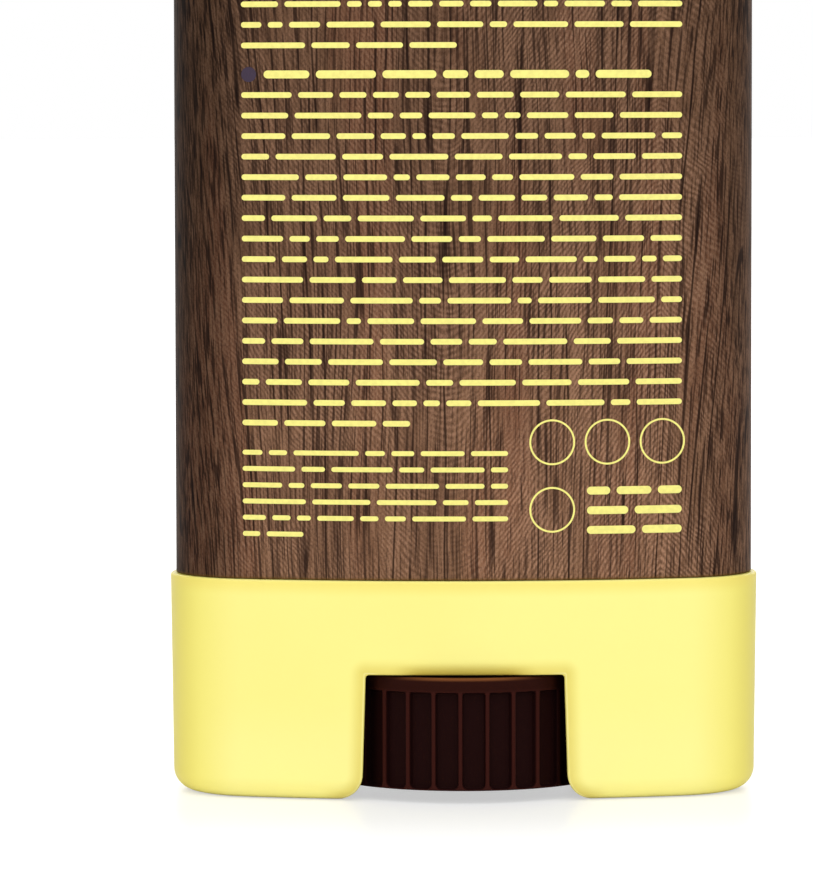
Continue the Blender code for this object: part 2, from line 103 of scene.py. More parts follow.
# The barrel: its spigot in the base, its wall, its bore, and its neck with a bead.
SPIGOT_OFFSET = SOCKET_OFFSET - 0.15
BARREL_FOOT = RIM + 0.02
BORE_OFFSET = -1.6
NECK_OFFSET = -0.85
BARREL_ROUND = 0.2
FOOT_ROUND = 0.08
SHOULDER = CAP_LOW[2] - 0.1
BEAD_RISE = 3.0
BEAD = 0.1
BEAD_HALF_HEIGHT = 0.5
MOUTH_ROUND = 0.25
MOUTH_CHAMFER = 0.08

# The dial: its wall, the web and boss below, the hub above, and the ribs with sunk panels between them.
DIAL_TOP = NOTCH_TOP - 0.1
DIAL_RADIUS = 7.4
DIAL_EDGE = 0.12
DIAL_WALL = 1.2
WEB_THICKNESS = 1.2
WEB_ROUND = 0.3
BOSS_RADIUS = 2.8
BOSS_RISE = 0.8
BOSS_EDGE = 0.15
HUB_RADIUS = 2.6
HUB_LIP = 0.55
HUB_CHAMFER = 0.3
HUB_LIP_HEIGHT = 0.9
HUB_BORE = 1.8
HUB_BORE_DEPTH = 3.3
SPOKES = 6
SPOKE_HALF = 0.4
SPOKE_RISE = 1.5
SPOKE_BEVEL = 0.08
RIBS = 32
RIB_WIDTH = 0.27
RIB_TURN = math.radians(-2.05)
BAND_HEIGHT = 0.8
FLUTE_DEPTH = 0.38
FLUTE_TOP_RADIUS = 0.12
FLUTE_FOOT_RADIUS = 0.28
FLUTE_FOOT_RISE = 0.1
FLUTE_SOFTNESS = 0.05

# The screw: its thread, and the foot and collar below it.
LEAD = 4.0
THREAD_CREST = 2.15
THREAD_ROOT = 1.65
THREAD_STEEPNESS = 1.6
THREAD_SHIFT = 0.35
THREAD_RUN_OUT = 0.8
THREAD_ROWS = 520
TIP_HEIGHT = 0.5
TIP_DRAW = 0.45
ROOT_RADIUS = 1.5
COLLAR_RADIUS = 2.4
COLLAR_HEIGHT = 0.5

# The elevator: its tray's offset, plate and rim, and its boss on the screw.
TRAY_OFFSET = BORE_OFFSET - 0.25
TRAY_WALL = 0.6
TRAY_RISE = 2.4
TRAY_PLATE = 1.0
TRAY_RIM = 2.2
LIFT_RADIUS = 3.4
LIFT_END_RADIUS = 3.2
LIFT_BORE = 2.4

# The balm: its foot in the tray, its shoulder, and its core for the boss and the screw.
BALM_FOOT_OFFSET = BORE_OFFSET - 1.15
BALM_FOOT_TOP = 5.9
BALM_EDGE = 0.15
BALM_ROUND = 0.35
BALM_STEP = 0.4
CORE_WIDE = 3.7
CORE_NARROW = 2.6
CORE_OVER_BOSS = 0.3
CORE_OVER_SCREW = 0.6

# The inner lid and the cap.
PLUG_OFFSET = BORE_OFFSET - 0.15
PLUG_INNER = PLUG_OFFSET - 0.6
LID_PLAY = 0.3
LID_WALL = 0.7
LID_EDGE = 0.08
LID_SLOPE = 0.15
FLANGE_OFFSET = NECK_OFFSET - 0.1
FLANGE_RISE = 0.1
FLANGE_HEIGHT = 0.6
DOME_RISE = 0.8
CAP_INNER = NECK_OFFSET + 0.2
CAP_INNER_ROUND = 1.2
CAP_EDGE = 2.0
CAP_CROWN = 1.2
CAP_TOP_WALL = 1.5


def arc(centre, radius, start, end, steps):
    """Points on a circle: its centre plus its radius times the cosine and sine of evenly spaced angles."""
    turn = np.radians(np.linspace(start, end, steps + 1))
    return np.column_stack([centre[0] + radius * np.cos(turn), centre[1] + radius * np.sin(turn)])


def oval_columns(front_columns):
    """Per column of the oval: its arc's centre, its arc's radius and the angle of its normal.

    The end radius makes the end arc touch both the oval's tip and the front arc on one tangent.
    """
    rise = FRONT_RADIUS - HALF_DEPTH
    end_radius = (FRONT_RADIUS**2 - HALF_WIDTH**2 - rise**2) / (2 * (FRONT_RADIUS - HALF_WIDTH))
    end_centre = HALF_WIDTH - end_radius
    lean = math.degrees(math.atan2(end_centre, rise))
    arcs = ((end_centre, 0, end_radius, lean - 90, 90 - lean, END_COLUMNS),
            (0, -rise, FRONT_RADIUS, 90 - lean, 90 + lean, front_columns),
            (-end_centre, 0, end_radius, 90 + lean, 270 - lean, END_COLUMNS),
            (0, rise, FRONT_RADIUS, 270 - lean, 270 + lean, front_columns))
    columns = []
    for x, y, radius, start, end, steps in arcs:
        turn = np.radians(np.linspace(start, end, steps, endpoint=False))
        columns.append(np.column_stack([np.full((steps, 3), (x, y, radius)), turn]))
    return np.concatenate(columns)


def oval_grid(stations, front_columns=FRONT_COLUMNS):
    """A loft: row i is the oval at station i's offset, drawn in by its share, at its height."""
    offset, height, share = (np.asarray(stations, float)[:, k, None] for k in range(3))
    x, y, radius, turn = oval_columns(front_columns).T
    reach = radius + offset
    return np.stack([share * (x + reach * np.cos(turn)), share * (y + reach * np.sin(turn)),
                     np.broadcast_to(height, reach.shape)], axis=-1)


def turned_grid(profile, columns):
    """A turning: row i is a circle of the profile's i-th radius at its height."""
    radius, height = (np.asarray(profile, float)[:, k, None] for k in range(2))
    turn = np.linspace(0, math.tau, columns, endpoint=False)[None, :]
    return np.stack([radius * np.cos(turn), radius * np.sin(turn), height + 0 * turn], axis=-1)


def wall(*pairs):
    """Stations of the oval at full share, from pairs of offset and height."""
    return np.array([(offset, height, 1.0) for offset, height in pairs])


def fillet(offset, height, radius, start, end, steps=6):
    """Stations round an arc in the plane of offset and height."""
    return wall(*arc((offset, height), radius, start, end, steps))


def crown(offset, height, rise, steps=24):
    """Stations of a shallow dome: the rise times one minus the share squared, from edge to axis."""
    share = np.linspace(1, 0, steps, endpoint=False)[1:]
    return np.column_stack([np.full(len(share), offset), height + rise * (1 - share**2), share])


def dome(offset, height, rise, power=2.4, steps=40):
    """Stations of a full dome: a superellipse of that power, upright at its edge and flat on the axis."""
    share = np.sin(np.linspace(math.pi / 2, 0, steps, endpoint=False))
    height = height + rise * (1 - share**power) ** (1 / power)
    return np.column_stack([np.full(steps, offset), height, share])


def new_object(name, data):
    """A new object at the scene's origin, from a mesh, a camera or a lamp."""
    item = bpy.data.objects.new(name, data)
    bpy.context.scene.collection.objects.link(item)
    return item


def solid(name, points, quads, fans=NO_FANS):
    """An object from points in millimetres, four-sided faces, and end faces with one number of sides."""
    corners = np.concatenate([quads.ravel(), fans.ravel()]).astype(np.int32)
    sizes = np.concatenate([np.full(len(quads), 4), np.full(len(fans), fans.shape[1])])
    starts = np.concatenate([[0], np.cumsum(sizes)[:-1]]).astype(np.int32)
    mesh = bpy.data.meshes.new(name)
    mesh.vertices.add(len(points))
    mesh.vertices.foreach_set("co", (points * MM).astype(np.float32).ravel())
    mesh.loops.add(len(corners))
    mesh.loops.foreach_set("vertex_index", corners)
    mesh.polygons.add(len(sizes))
    mesh.polygons.foreach_set("loop_start", starts)
    mesh.update(calc_edges=True)
    mesh.validate()
    return new_object(name, mesh)


def joined_solid(name, parts):
    """One object from parts: each has its points, and four-sided faces that count from its own first."""
    starts = np.cumsum([0] + [len(points) for points, quads in parts])
    quads = np.concatenate([quads + start for start, (points, quads) in zip(starts, parts)])
    return solid(name, np.concatenate([points for points, quads in parts]), quads)


def grid_quads(rows, columns, rows_close=False, columns_close=True):
    """The faces between a grid's rows and columns, which join the last to the first where they close."""
    row = np.arange(rows if rows_close else rows - 1)[:, None] * columns
    above = (row + columns) % (rows * columns)
    column = np.arange(columns if columns_close else columns - 1)[None, :]
    following = (column + 1) % columns
    quads = np.stack([row + column, row + following, above + following, above + column], axis=-1)
    return quads.reshape(-1, 4)


def skin(name, grid, looped=False, flat=False):
    """A closed skin over a grid of rows by columns, whose columns go round.

    A looped one joins its last row to its first. A flat one ends in one wide face at each end row. Any
    other ends in a fan to the middle of each end row.
    """
    rows, columns = grid.shape[:2]
    points = grid.reshape(-1, 3)
    quads = grid_quads(rows, columns, looped)
    if looped:
        return solid(name, points, quads)
    first = np.arange(columns)
    last = first + (rows - 1) * columns
    if flat:
        return solid(name, points, quads, np.stack([first[::-1], last]))
    low, high = len(points), len(points) + 1
    points = np.concatenate([points, grid[:1].mean(axis=1), grid[-1:].mean(axis=1)])
    fans = np.concatenate([np.stack([np.full(columns, low), np.roll(first, -1), first], axis=-1),
                           np.stack([np.full(columns, high), last, np.roll(last, -1)], axis=-1)])
    return solid(name, points, quads, fans)


def prism(name, outline, low, high):
    """An outline in X and Z, carried along Y from low to high, with a flat face at each end."""
    count = len(outline)
    near = np.column_stack([outline[:, 0], np.full(count, low), outline[:, 1]])
    far = near + (0, high - low, 0)
    corners = [tuple(range(count)), tuple(range(2 * count - 1, count - 1, -1))]
    for i in range(count):
        following = (i + 1) % count
        corners.append((following, i, count + i, count + following))
    mesh = bpy.data.meshes.new(name)
    mesh.from_pydata((np.concatenate([near, far]) * MM).tolist(), [], corners)
    return new_object(name, mesh)


def apply_modifiers(item):
    """Replaces an object's mesh by its evaluated one."""
    graph = bpy.context.evaluated_depsgraph_get()
    mesh = bpy.data.meshes.new_from_object(item.evaluated_get(graph))
    item.modifiers.clear()
    item.data = mesh


def combine(item, others, operation="DIFFERENCE"):
    """Cuts or joins other objects into one, and removes them."""
    for other in others:
        boolean = item.modifiers.new(other.name, "BOOLEAN")
        boolean.operation = operation
        boolean.solver = "EXACT"
        boolean.object = other
    apply_modifiers(item)
    for other in others:
        bpy.data.objects.remove(other)


def soften(item, width):
    """Rounds the sharp edges by a width in millimetres."""
    bevel = item.modifiers.new("soft_edges", "BEVEL")
    bevel.width = width * MM
    bevel.segments = 3
    bevel.limit_method = "ANGLE"
    bevel.angle_limit = math.radians(30)
    bevel.use_clamp_overlap = False
    bevel.miter_outer = "MITER_ARC"
    apply_modifiers(item)


def finish_piece(item, material, body, nodes=(), sharp=32):
    """Shades a piece evenly, gives it its material, hangs it on its body and hides the nodes it stands for.
    """
    item.data.materials.clear()
    item.data.materials.append(material)
    item.data.shade_smooth()
    item.data.set_sharp_from_angle(angle=math.radians(sharp))
    weighted = item.modifiers.new("even_shading", "WEIGHTED_NORMAL")
    weighted.keep_sharp = True
    weighted.weight = 70
    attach(item, body)
    if nodes:
        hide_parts(*nodes)


class Wire:
    """One socket of a material. Arithmetic on it adds Math nodes."""

    def __init__(self, finish, socket):
        self.finish = finish
        self.socket = socket

    def __add__(self, other):
        return self.finish.math("ADD", self, other)

    __radd__ = __add__

    def __sub__(self, other):
        return self.finish.math("SUBTRACT", self, other)

    def __rsub__(self, other):
        return self.finish.math("SUBTRACT", other, self)

    def __mul__(self, other):
        return self.finish.math("MULTIPLY", self, other)

    __rmul__ = __mul__

    def __pow__(self, other):
        return self.finish.math("POWER", self, other)

    def __abs__(self):
        return self.finish.math("ABSOLUTE", self)


class Finish:
    """A material with one Principled shader. Its even values go straight to the shader's sockets."""

    def __init__(self, name, **even):
        self.material = bpy.data.materials.new(name)
        self.material.use_nodes = True
        self.tree = self.material.node_tree
        self.shader = self.tree.nodes["Principled BSDF"]
        for socket, value in even.items():
            self.set(socket.replace("_", " "), value)

    def set(self, socket, value):
        """Gives one of the shader's sockets a value or a wire."""
        self.feed(self.shader.inputs[socket], value)

    def feed(self, socket, value):
        """Gives a socket a wire, a colour or a plain value."""
        if isinstance(value, Wire):
            self.tree.links.new(value.socket, socket)
        elif isinstance(value, tuple) and len(value) == 3 and socket.type == "RGBA":
            socket.default_value = (*value, 1.0)
        else:
            socket.default_value = value

    def node(self, kind, settings, *values, output=0, **named):
        """Adds a node: its settings first, then the values or wires of its sockets. Returns one output."""
        item = self.tree.nodes.new(kind)
        for key, value in settings.items():
            setattr(item, key, value)
        for key, value in (*enumerate(values), *named.items()):
            self.feed(item.inputs[key], value)
        return Wire(self, item.outputs[output])

    def place(self):
        """The point's own place on the piece, in millimetres."""
        return self.shade(self.node("ShaderNodeTexCoord", {}, output="Object"), 1 / MM)

    def parts(self, point):
        """A vector's X, Y and Z."""
        return [self.node("ShaderNodeSeparateXYZ", {}, point, output=axis) for axis in "XYZ"]

    def noise(self, point, per_mm, detail=2.0, roughness=0.5):
        """Noise from 0 to 1, at so many cells per millimetre along each axis."""
        stretched = self.node("ShaderNodeVectorMath", {"operation": "MULTIPLY"}, point, per_mm)
        return self.node("ShaderNodeTexNoise", {}, Vector=stretched, Scale=1.0, Detail=detail,
                         Roughness=roughness)

    def ramp(self, value, low, high, start=0.0, end=1.0):
        """Rises smoothly from start to end as the value goes from low to high."""
        smooth = {"interpolation_type": "SMOOTHSTEP"}
        return self.node("ShaderNodeMapRange", smooth, value, low, high, start, end)

    def mix(self, share, first, second):
        """The first colour going over to the second as the share goes from 0 to 1."""
        item = self.tree.nodes.new("ShaderNodeMix")
        item.data_type = "RGBA"
        for key, value in ((0, share), (6, first), (7, second)):
            self.feed(item.inputs[key], value)
        return Wire(self, item.outputs[2])

    def math(self, operation, *values):
        """A Math node of one operation."""
        return self.node("ShaderNodeMath", {"operation": operation}, *values)

    def most(self, first, second):
        """The larger of two values."""
        return self.math("MAXIMUM", first, second)

    def shade(self, colour, level):
        """A colour or a place, times a level."""
        return self.node("ShaderNodeVectorMath", {"operation": "SCALE"}, colour, Scale=level)

    def bump(self, height, distance_mm):
        """Tilts the shading by a height in shares of a distance in millimetres."""
        self.set("Normal", self.node("ShaderNodeBump", {}, Height=height, Distance=distance_mm * MM))


def srgb(red, green, blue):
    """A colour written as 0 to 255 on screen, in the linear numbers that a shader takes."""
    share = np.array([red, green, blue]) / 255
    return tuple(np.where(share <= 0.04045, share / 12.92, ((share + 0.055) / 1.055) ** 2.4).tolist())


def yellow_plastic():
    """Satin moulded plastic: pale yellow with a faint flow mark, plus painted light and shade: painted
    shade at its ends, round the notch, under the rim and over the dial, a painted highlight along the
    notch's edges, and painted light at the foot.
    """
    finish = Finish("yellow_plastic", Specular_IOR_Level=0.16, Specular_Tint=(1.0, 0.9, 0.55))
    ramp, mix, noise = finish.ramp, finish.mix, finish.noise
    point = finish.place()
    x, y, z = finish.parts(point)
    across, along = abs(x), abs(y)

    # A faint flow mark in the tone, then painted light that makes the foot paler, and painted shade that
    # makes both ends warmer and darker, where the sides turn from the light.
    flow = noise(point, (0.09, 0.09, 0.05), detail=1.0)
    tone = mix(ramp(flow, 0.35, 0.65), srgb(253, 243, 144), srgb(254, 246, 149))
    tone = mix(ramp(z, 6.0, 2.0, 0.0, 0.7), tone, srgb(254, 246, 157))
    tone = mix(ramp(across, 12.0, 15.2), tone, srgb(254, 242, 127))
    tone = mix(ramp(across, 14.0, 15.8, 0.0, 0.26), tone, srgb(200, 176, 36))

    # A painted shade in a soft band under the rim.
    under = ramp(z, RIM - 0.95, RIM - 0.15) * ramp(z, RIM - 0.02, RIM - 0.1)
    tone = mix(under * 0.6, tone, srgb(246, 226, 112))

    # Away is the distance from the notch's side, flared foot and top. A painted shade fades with it, and a
    # thin painted highlight line, as if light caught the notch's rounded edge, runs inside that shade.
    foot = NOTCH_FOOT_HALF + NOTCH_FLARE
    column = finish.most(foot - across - NOTCH_DRAFT * finish.most(z - NOTCH_FLARE, 0.0), 0.0)
    row = finish.most(NOTCH_FLARE - z, 0.0)
    beside = finish.most(NOTCH_FLARE - (column * column + row * row) ** 0.5, 0.0)
    over = finish.most(z - NOTCH_TOP, 0.0)
    away = (beside * beside + over * over) ** 0.5
    edge = ramp(away, 0.95, 0.12) * ramp(along, 4.0, 5.0)
    edge = edge * ramp(across, foot + 1.0, foot - 0.6)
    tone = mix(edge * 0.65, tone, srgb(226, 206, 96))
    notch_painted_highlight = ramp(away, 0.14, 0.10) * ramp(away, 0.03, 0.07) * edge
    notch_painted_highlight = notch_painted_highlight * ramp(across, 4.4, 5.0)
    tone = mix(notch_painted_highlight * 0.4, tone, srgb(255, 248, 180))

    # A painted shade over the middle of the dial, deepest right above it, where the dial shuts out light
    # from below.
    lip = ramp(z, NOTCH_TOP + 0.72, NOTCH_TOP + 0.02) * ramp(z, NOTCH_TOP - 0.1, NOTCH_TOP)
    lip = lip * ramp(across, 4.2, 2.2) * ramp(along, 6.0, 6.4)
    finish.set("Base Color", mix(lip * 0.7, tone, srgb(178, 152, 38)))

    grain = noise(point, (9.0, 9.0, 9.0), detail=3.0, roughness=0.6)
    finish.set("Roughness", 0.34 + 0.08 * grain)
    finish.bump(grain, 0.004)
    return finish.material


# The printed wood: the height up to which grain leans, the knot's place across and the arches' spacing, in
# millimetres, then the cracks' turn for each millimetre and their drift, in radians.
LEAN_HEIGHT = 30.0
KNOT = 10.7
ARCH_STEP = 0.37
CRACK_TURN = 6.6
CRACK_DRIFT = 17.0


def wood_print():
    """A printed wood look: long bands, fine hatched arches, pores and leaning cracks, with painted shade
    towards both ends and a painted olive bounce light above the base's rim.
    """
    finish = Finish("wood_print", Specular_IOR_Level=0.02)
    ramp, mix, noise = finish.ramp, finish.mix, finish.noise
    point = finish.place()
    x, y, z = finish.parts(point)

    # The grain leans at both ends, by its distance from the lean's height, and wanders along its length.
    wander = noise(point, (0.16, 0.16, 0.05), detail=1.0) - 0.5
    lean = ramp(x, -15.5, -6.0, 0.12, 0.0) - ramp(x, 5.0, 15.0, 0.0, 0.09)
    upright = x - lean * (LEAN_HEIGHT - z)
    shifted = finish.node("ShaderNodeCombineXYZ", {}, upright + 1.6 * wander, y, z)

    # Long light and dark bands, some of them redder.
    band = noise(shifted, (0.5, 0.5, 0.03), detail=2.0)
    tone = mix(ramp(band, 0.36, 0.66, 0.34, 0.0), srgb(124, 90, 67), srgb(76, 53, 42))
    warm = noise(shifted, (0.3, 0.3, 0.03), detail=2.0)
    tone = mix(ramp(warm, 0.48, 0.66, 0.0, 0.6), tone, srgb(130, 85, 63))

    # Hatched arches: evenly spaced lines over a height that rises by the distance from the knot and falls
    # on the left, with a ripple. They show in patches, broken into hairs, and less on the narrow sides.
    flank = finish.math("SMOOTH_MAX", abs(x - KNOT + 2.0 * wander), 0.0, 1.6)
    left = finish.math("SMOOTH_MAX", -1.0 * x - 1.0, 0.0, 3.0)
    ripple = noise(point, (0.6, 0.6, 0.6), detail=1.0) - 0.5
    height = z + 1.45 * flank - 2.8 * left + 1.2 * ripple + 3.0 * wander
    line = finish.math("SINE", height * (math.tau / ARCH_STEP)) * 0.5 + 0.5
    patch = noise(point, (0.35, 0.35, 0.16), detail=2.0)
    hair = noise(shifted, (6.0, 6.0, 1.6), detail=2.0, roughness=0.6)
    figure = line * ramp(patch, 0.32, 0.58, 0.3, 1.0) * ramp(hair, 0.38, 0.60, 0.4, 1.15)
    figure = figure * ramp(x, -14.6, -11.5, 0.4, 1.0) * ramp(x, 12.6, 14.4, 1.0, 0.5)
    figure = figure * ramp(x, -3.0, 7.0, 0.6, 1.0) * ramp(y, -5.0, -1.0, 1.0, 0.25)
    tone = mix(figure, finish.shade(tone, 0.92), srgb(168, 127, 101))

    # Light and dark fibres, coarser at both ends, and dark pores.
    fibre = noise(shifted, (7.0, 7.0, 0.24), detail=2.0, roughness=0.6)
    coarse = ramp(abs(x), 10.5, 14.0, 1.0, 1.35)
    tone = mix(ramp(fibre, 0.50, 0.34, 0.0, 0.5) * coarse, tone, srgb(158, 119, 93))
    tone = mix(ramp(fibre, 0.50, 0.66, 0.0, 0.68) * coarse, tone, srgb(46, 31, 25))
    pore = noise(shifted, (5.6, 5.6, 0.15), detail=1.0)
    tone = mix(ramp(pore, 0.58, 0.65, 0.0, 0.75), tone, srgb(42, 27, 22))

    # Long cracks: the crests of a wave across the grain, which drifts and is broken along its length.
    drift = noise(shifted, (0.45, 0.45, 0.03), detail=2.0)
    vein = finish.math("SINE", upright * CRACK_TURN + CRACK_DRIFT * drift)
    broken = noise(shifted, (1.3, 1.3, 0.10), detail=1.0)
    crack = ramp(vein, 0.86, 0.985) * ramp(broken, 0.44, 0.56)
    tone = mix(crack * 0.85, tone, srgb(34, 21, 17))
    fleck = noise(point, (11.0, 11.0, 8.0), detail=1.0)
    tone = mix(ramp(fleck, 0.45, 0.70, 0.0, 0.36), tone, srgb(56, 38, 30))

    # Painted shade towards both ends, where the oval turns from the light, and darker upwards; then a
    # painted olive tint right above the base's rim, for yellow light bounced off the rim together with the
    # seam's shade.
    margin = ramp(x, -14.4, -10.2, 0.41, 0.98) * ramp(x, 10.8, 13.8, 1.0, 0.73)
    margin = margin * ramp(x, -15.1, -14.6, 0.7, 1.0) * ramp(z, 14.0, 41.0, 1.02, 0.70)
    painted_rim_bounce = ramp(z, RIM + 0.03, RIM + 0.20, 0.6, 0.0)
    finish.set("Base Color", mix(painted_rim_bounce, finish.shade(tone, margin), srgb(102, 76, 31)))
    finish.set("Roughness", 0.42 + 0.08 * fibre)
    finish.bump(fibre * 0.5 - crack * 0.5, 0.006)
    return finish.material


def print_ink(name, colour):
    """Satin printing ink with a slightly uneven lay-down."""
    finish = Finish(name, Roughness=0.45, Specular_IOR_Level=0.35)
    lay = finish.noise(finish.place(), (4.0, 4.0, 4.0), detail=2.0)
    darker = tuple(0.9 * part for part in colour)
    finish.set("Base Color", finish.mix(finish.ramp(lay, 0.3, 0.7), darker, colour))
    return finish.material


def dial_plastic():
    """Dark brown moulded plastic with a fine spark-eroded grain, painted light on the rib tops and band,
    painted shade beside the notch's sides, and a painted highlight along the band's top edge.
    """
    finish = Finish("dial_plastic", Specular_IOR_Level=0.03, Specular_Tint=(1.0, 0.6, 0.5))
    ramp, mix, noise = finish.ramp, finish.mix, finish.noise
    point = finish.place()
    x, y, z = finish.parts(point)
    reach = finish.math("SQRT", x * x + y * y)
    grain = noise(point, (14.0, 14.0, 14.0), detail=3.0, roughness=0.6)

    # Painted light and shade: the rib tops and the band lighter than the sunk panels, as where light falls
    # on them, and a painted shade next to the notch's sides.
    crest = ramp(reach, DIAL_RADIUS - 0.14, DIAL_RADIUS - 0.01)
    dark = mix(grain, srgb(25, 9, 9), srgb(31, 12, 12))
    band = ramp(z, DIAL_TOP - BAND_HEIGHT - 0.05, DIAL_TOP - BAND_HEIGHT + 0.2)
    tone = mix(crest, dark, mix(band, srgb(54, 23, 19), srgb(42, 17, 13)))
    tone = mix(ramp(abs(x), 4.55, 4.95, 0.0, 0.75), tone, srgb(11, 3, 4))

    # A painted warm highlight along the band's top edge, in the middle of the front, for yellow light
    # thrown down from the wall above.
    lit = ramp(z, DIAL_TOP - 0.20, DIAL_TOP - 0.03) * ramp(y, -2.0, -5.0)
    lit = lit * ramp(reach, DIAL_RADIUS - 0.45, DIAL_RADIUS - 0.15)
    tone = mix(lit * ramp(abs(x), 1.2, 4.6, 0.6, 0.0), tone, srgb(146, 88, 48))
    finish.set("Base Color", tone)
    finish.set("Roughness", 0.40 + 0.12 * grain)
    finish.bump(grain, 0.006)
    return finish.material


def screw_plastic():
    """Natural moulded plastic of the screw and the tray."""
    finish = Finish("screw_plastic", Specular_IOR_Level=0.45)
    point = finish.place()
    flow = finish.noise(point, (0.3, 0.3, 0.1), detail=2.0)
    finish.set("Base Color", finish.mix(flow, srgb(228, 224, 212), srgb(238, 236, 228)))
    finish.set("Roughness", 0.36 + 0.1 * finish.noise(point, (6.0, 6.0, 6.0), detail=2.0))
    return finish.material


def balm_wax():
    """Waxy off-white balm, a little cloudy, with faint casting ripples."""
    finish = Finish("balm_wax", Subsurface_Weight=0.25, Subsurface_Scale=0.001, Specular_IOR_Level=0.35)
    point = finish.place()
    cloud = finish.noise(point, (0.25, 0.25, 0.25), detail=3.0)
    finish.set("Base Color", finish.mix(cloud, srgb(240, 234, 214), srgb(247, 243, 228)))
    ripple = finish.noise(point, (2.2, 2.2, 2.2), detail=4.0, roughness=0.55)
    finish.set("Roughness", 0.40 + 0.15 * ripple)
    finish.bump(ripple, 0.02)
    return finish.material


def lid_plastic():
    """Thin milky moulded plastic of the inner lid."""
    finish = Finish("lid_plastic", Specular_IOR_Level=0.5)
    point = finish.place()
    flow = finish.noise(point, (0.2, 0.2, 0.4), detail=2.0)
    finish.set("Base Color", finish.mix(flow, srgb(226, 228, 228), srgb(240, 241, 240)))
    finish.set("Roughness", 0.26 + 0.1 * finish.noise(point, (5.0, 5.0, 5.0), detail=2.0))
    return finish.material


def notch_outline():
    """A notch: its top corners, its drafted sides and its flared feet. Finer arcs make the cut fail."""
    corner = arc((NOTCH_TOP_HALF - NOTCH_CORNER, NOTCH_TOP - NOTCH_CORNER), NOTCH_CORNER, 90, 0, 4)
    flare = arc((NOTCH_FOOT_HALF + NOTCH_FLARE, NOTCH_FLARE), NOTCH_FLARE, 180, 270, 12)
    right = np.concatenate([corner, flare, [(NOTCH_FOOT_HALF + NOTCH_FLARE, -OVERRUN)]])
    return np.concatenate([right * (-1, 1), right[::-1]])


def base_shell(material):
    """The collar: an oval loft, less the notch, the dial's recess, and the socket with the lobes' pockets.

    The notch is cut and its edges are rounded before the rest is cut, which keeps the mesh sound.
    """
    foot = fillet(FOOT_OFFSET - FOOT_RADIUS, FOOT_RADIUS, FOOT_RADIUS, -90, 0, 10)
    rim = fillet(RIM_OFFSET - RIM_ROUND, RIM - RIM_ROUND, RIM_ROUND, 0, 90)
    heights = np.arange(FOOT_RADIUS + BASE_ROW_STEP, RIM - BASE_ROW_STEP, BASE_ROW_STEP)
    draft = (heights - FOOT_RADIUS) / (RIM - FOOT_RADIUS)
    side = wall(*zip(FOOT_OFFSET + (RIM_OFFSET - FOOT_OFFSET) * draft, heights))
    stations = np.concatenate([foot, side, rim])
    base = skin("base_shell", oval_grid(stations, BASE_FRONT_COLUMNS), flat=True)
    low, high = -OVERRUN, RIM + OVERRUN
    mouth, bend = SOCKET_OFFSET + EDGE_BEVEL, EDGE_BEVEL * 0.3
    pocket_rows = wall((SOCKET_OFFSET, BASE_FLOOR), (SOCKET_OFFSET, RIM - EDGE_BEVEL),
                       (SOCKET_OFFSET + bend, RIM - bend), (mouth, RIM), (mouth, high))
    pocket = skin("pocket", oval_grid(pocket_rows), flat=True)
    drum_rows = [(DRUM_RADIUS, low), (DRUM_RADIUS, DECK)]
    drum = skin("drum", turned_grid(drum_rows, DRUM_COLUMNS), flat=True)
    combine(pocket, [drum])
    flare = arc((RECESS_RADIUS + RECESS_FLARE, RECESS_FLARE), RECESS_FLARE, 270, 180, 8)
    profile = [(RECESS_RADIUS + RECESS_FLARE, low), *flare, (RECESS_RADIUS, NOTCH_TOP),
               (HUB_HOLE, NOTCH_TOP), (HUB_HOLE, high)]
    recess = skin("recess", turned_grid(profile, RECESS_COLUMNS), flat=True)
    reach = HALF_DEPTH + RIM_OFFSET + OVERRUN
    notch = prism("notch", notch_outline(), -reach, reach)
    combine(base, [notch])
    soften(base, EDGE_BEVEL)
    combine(base, [recess, pocket])
    finish_piece(base, material, "housing", ["base"])


def barrel_shell(material):
    """The tube: a spigot in the base, the printed wall, a shoulder, and the neck with its bead."""
    low, mouth = BARREL_LOW[2], BARREL_HIGH[2]
    bead = SHOULDER + BEAD_RISE
    bead_rows = [(NECK_OFFSET + BEAD * math.cos(math.pi * share / 2) ** 2,
                  bead + BEAD_HALF_HEIGHT * share) for share in np.linspace(-1, 1, 9)]
    outside = np.concatenate([
        wall((SPIGOT_OFFSET - BARREL_ROUND, low), (SPIGOT_OFFSET, low + BARREL_ROUND),
             (SPIGOT_OFFSET, BARREL_FOOT)),
        fillet(-FOOT_ROUND, BARREL_FOOT + FOOT_ROUND, FOOT_ROUND, -90, 0),
        fillet(-BARREL_ROUND, SHOULDER - BARREL_ROUND, BARREL_ROUND, 0, 90),
        wall((NECK_OFFSET + CHAMFER, SHOULDER), (NECK_OFFSET, SHOULDER + CHAMFER), *bead_rows),
        fillet(NECK_OFFSET - MOUTH_ROUND, mouth - MOUTH_ROUND, MOUTH_ROUND, 0, 90)])
    bore = wall((BORE_OFFSET + MOUTH_CHAMFER, mouth), (BORE_OFFSET, mouth - MOUTH_CHAMFER),
                (BORE_OFFSET, low))
    barrel = skin("barrel_shell", oval_grid(np.concatenate([outside, bore])), looped=True)
    finish_piece(barrel, material, "housing", ["barrel"])


def dial_rows():
    """The dial's radius and height at its outer rows. Its edges are round, and the rows are dense at the
    panels' feet and tops.
    """
    low = DIAL_LOW[2]
    edge = DIAL_RADIUS - DIAL_EDGE
    foot = arc((edge, low + DIAL_EDGE), DIAL_EDGE, -90, 0, 6)
    top = arc((edge, DIAL_TOP - DIAL_EDGE), DIAL_EDGE, 0, 90, 6)
    panel_top = DIAL_TOP - BAND_HEIGHT
    heights = np.concatenate([np.linspace(low + 0.14, low + 0.45, 16),
                              np.linspace(low + 0.6, panel_top - 0.3, 8),
                              np.linspace(panel_top - 0.2, panel_top + 0.1, 20), [panel_top + 0.3]])
    rows = np.column_stack([np.full(len(heights), DIAL_RADIUS), heights])
    return np.concatenate([foot, rows, top])


